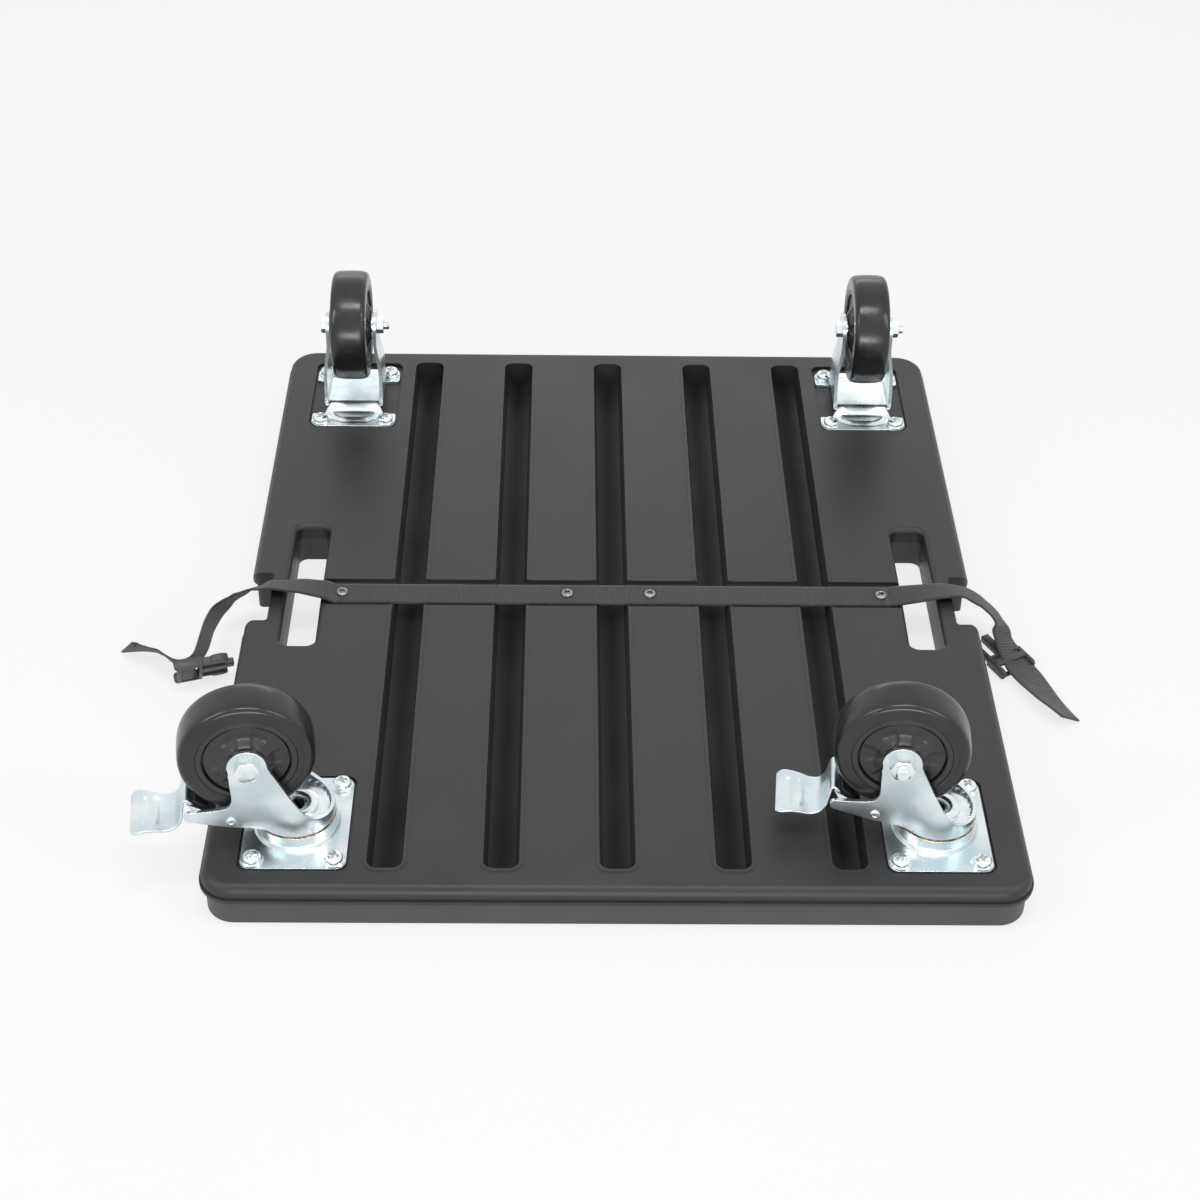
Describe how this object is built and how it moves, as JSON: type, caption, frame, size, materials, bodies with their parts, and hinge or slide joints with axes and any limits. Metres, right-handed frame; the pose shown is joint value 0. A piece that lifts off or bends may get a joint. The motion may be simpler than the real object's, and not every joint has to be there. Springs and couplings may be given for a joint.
{
  "type": "caster platform",
  "caption": "Flat load platform of two plastic mouldings with hand slots and a strap, on braked swivel casters at one end and rigid casters at the other, shown turned over.",
  "frame": {"origin": "centre of the flat load face, on the floor as pictured", "axes": "+Z from the load face to the wheels, +Y from the swivel end to the rigid end, +X across; the platform is turned over for use"},
  "size_m": [0.7928, 0.73, 0.1675],
  "materials": {
    "deck_plastic": "moulded, fine grain",
    "tray_plastic": "moulded, fine grain",
    "zinc_steel": "bright zinc plated, clear passivated",
    "ball_steel": "ground",
    "screw_steel": "zinc plated, dull",
    "webbing": "woven, matt",
    "buckle_plastic": "moulded",
    "shoe_rubber": "matt",
    "tread": "cast, satin",
    "hub_plastic": "moulded, satin"
  },
  "bodies": {
    "platform": {"underside_shell": "deck_plastic", "deck_tray": "tray_plastic", "caster_inserts": "zinc_steel", "caster_screws": "zinc_steel", "caster_washers": "zinc_steel", "strap_webbing": "webbing", "strap_screws": "screw_steel", "strap_tail_left": "webbing", "strap_tail_right": "webbing", "buckle_plug_left": "buckle_plastic", "buckle_plug_right": "buckle_plastic", "swivel_plate_left": "zinc_steel", "swivel_plate_right": "zinc_steel", "kingpin_left": "zinc_steel", "kingpin_right": "zinc_steel", "lock_ring_left": "zinc_steel", "lock_ring_right": "zinc_steel", "swivel_balls_left": "ball_steel", "swivel_balls_right": "ball_steel", "rear_bracket_left": "zinc_steel", "rear_bracket_right": "zinc_steel", "rear_axles": "zinc_steel", "rear_axle_nuts": "zinc_steel", "rear_sleeves": "zinc_steel"},
    "swivel_left": {"fork_left": "zinc_steel", "fork_axle_left": "zinc_steel", "fork_axle_nut_left": "zinc_steel", "fork_sleeve_left": "zinc_steel", "brake_pin_left": "zinc_steel"},
    "brake_left": {"brake_pedal_left": "zinc_steel", "brake_shoe_left": "shoe_rubber"},
    "swivel_right": {"fork_right": "zinc_steel", "fork_axle_right": "zinc_steel", "fork_axle_nut_right": "zinc_steel", "fork_sleeve_right": "zinc_steel", "brake_pin_right": "zinc_steel"},
    "brake_right": {"brake_pedal_right": "zinc_steel", "brake_shoe_right": "shoe_rubber"},
    "wheel_front_left": {"tyre_front_left": "tread", "hub_front_left": "hub_plastic", "bearings_front_left": "ball_steel"},
    "wheel_front_right": {"tyre_front_right": "tread", "hub_front_right": "hub_plastic", "bearings_front_right": "ball_steel"},
    "wheel_rear_left": {"tyre_rear_left": "tread", "hub_rear_left": "hub_plastic", "bearings_rear_left": "ball_steel"},
    "wheel_rear_right": {"tyre_rear_right": "tread", "hub_rear_right": "hub_plastic", "bearings_rear_right": "ball_steel"}
  },
  "joints": [
    {"name": "swivel_left", "type": "hinge", "parent": "platform", "child": "swivel_left", "pos_m": [-0.2385, -0.294, 0.052], "axis": [0, 0, 1], "continuous": true},
    {"name": "wheel_front_left", "type": "hinge", "parent": "swivel_left", "child": "wheel_front_left", "pos_m": [-0.27021, -0.29829, 0.1175], "axis": [0.134, -0.991, 0], "continuous": true},
    {"name": "brake_left", "type": "hinge", "parent": "swivel_left", "child": "brake_left", "pos_m": [-0.28547, -0.30035, 0.066], "axis": [-0.134, 0.991, 0], "range_deg": [0, 6.8]},
    {"name": "swivel_right", "type": "hinge", "parent": "platform", "child": "swivel_right", "pos_m": [0.2385, -0.294, 0.052], "axis": [0, 0, 1], "continuous": true},
    {"name": "wheel_front_right", "type": "hinge", "parent": "swivel_right", "child": "wheel_front_right", "pos_m": [0.20664, -0.29099, 0.1175], "axis": [-0.0941, -0.9956, 0], "continuous": true},
    {"name": "brake_right", "type": "hinge", "parent": "swivel_right", "child": "brake_right", "pos_m": [0.19131, -0.28954, 0.066], "axis": [0.0941, 0.9956, 0], "range_deg": [0, 6.8]},
    {"name": "wheel_rear_left", "type": "hinge", "parent": "platform", "child": "wheel_rear_left", "pos_m": [-0.2385, 0.281, 0.1175], "axis": [1, 0, 0], "continuous": true},
    {"name": "wheel_rear_right", "type": "hinge", "parent": "platform", "child": "wheel_rear_right", "pos_m": [0.2385, 0.281, 0.1175], "axis": [1, 0, 0], "continuous": true}
  ]
}
